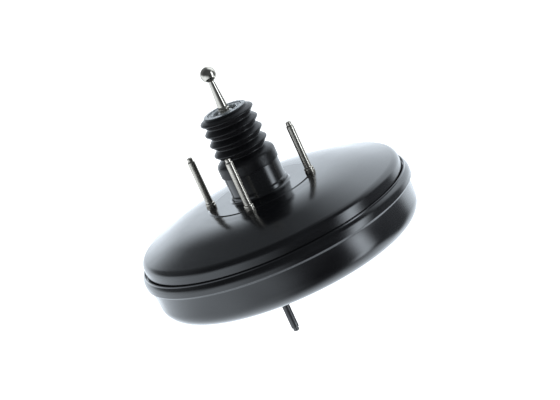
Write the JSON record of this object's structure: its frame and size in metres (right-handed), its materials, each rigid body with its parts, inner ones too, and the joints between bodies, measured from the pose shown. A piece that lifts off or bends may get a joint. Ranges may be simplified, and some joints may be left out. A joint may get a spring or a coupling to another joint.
{
  "type": "brake booster",
  "caption": "Vacuum brake booster with a shallow drum shell, bulkhead studs, bellows boot and ball-ended push rod over a working servo unit.",
  "frame": {"origin": "centre of the flat pad on the rear shell that meets the bulkhead, on the booster's axis", "axes": "+Z along the booster's axis towards the pedal, X and Y along the sides of the square of bulkhead studs"},
  "size_m": [0.307, 0.307, 0.2849],
  "materials": {
    "black_enamel": "gloss",
    "boot_rubber": "matte",
    "rubber": "matte",
    "stud_zinc": "satin",
    "stud_dark": "satin",
    "zinc_steel": "satin",
    "bright_steel": "polished",
    "spring_steel": "satin",
    "phenolic": "satin",
    "black_nylon": "satin",
    "acetal": "satin",
    "grey_plastic": "satin",
    "white_plastic": "satin",
    "felt": "matte"
  },
  "bodies": {
    "housing": {"rear_shell": "black_enamel", "front_shell": "black_enamel", "rear_reinforcement": "zinc_steel", "front_reinforcement": "zinc_steel", "rear_studs": "stud_zinc", "front_studs": "stud_dark", "neck_seal": "rubber", "seal_retainer": "zinc_steel", "neck_bush": "acetal", "boot": "boot_rubber", "front_seal": "rubber", "diaphragm": "rubber", "return_spring": "spring_steel", "vacuum_grommet": "rubber", "check_valve_inlet": "black_nylon", "check_valve_housing": "black_nylon", "check_valve_spring": "spring_steel"},
    "power_piston": {"valve_body": "phenolic", "diaphragm_plate": "zinc_steel", "retaining_key": "zinc_steel", "reaction_disc": "rubber", "output_rod": "stud_zinc", "adjusting_screw": "stud_zinc", "output_rod_retainer": "zinc_steel", "poppet_valve": "rubber", "poppet_spring": "spring_steel", "poppet_retainer": "zinc_steel", "rod_return_spring": "spring_steel", "air_filter": "felt", "filter_cap": "grey_plastic"},
    "poppet": {"poppet_washer": "zinc_steel"},
    "air_valve": {"valve_plunger": "bright_steel"},
    "pushrod": {"input_rod": "bright_steel", "rod_spring_washer": "zinc_steel", "rod_collar": "white_plastic"},
    "check_disc": {"check_valve_disc": "rubber"}
  },
  "joints": [
    {"name": "servo_slide", "type": "slide", "parent": "housing", "child": "power_piston", "axis": [0, 0, -1], "range_m": [0, 0.032], "stiffness_N_per_m": 3000, "springref_m": -0.03, "deforming": ["boot", "diaphragm", "return_spring"]},
    {"name": "poppet_slide", "type": "slide", "parent": "power_piston", "child": "poppet", "axis": [0, 0, -1], "range_m": [0, 0.0005], "stiffness_N_per_m": 1200, "springref_m": -0.002, "deforming": ["poppet_valve", "poppet_spring"]},
    {"name": "air_valve_slide", "type": "slide", "parent": "power_piston", "child": "air_valve", "axis": [0, 0, -1], "range_m": [0, 0.0016], "stiffness_N_per_m": 6000, "springref_m": -0.004, "deforming": ["rod_return_spring"]},
    {"name": "pushrod_tilt", "type": "hinge", "parent": "air_valve", "child": "pushrod", "pos_m": [0, 0, 0.014], "axis": [1, 0, 0], "range_deg": [-3, 3], "stiffness_Nm_per_rad": 1.2},
    {"name": "check_valve_slide", "type": "slide", "parent": "housing", "child": "check_disc", "axis": [0, 0, -1], "range_m": [0, 0.0015], "stiffness_N_per_m": 300, "springref_m": -0.003, "deforming": ["check_valve_spring"]}
  ]
}
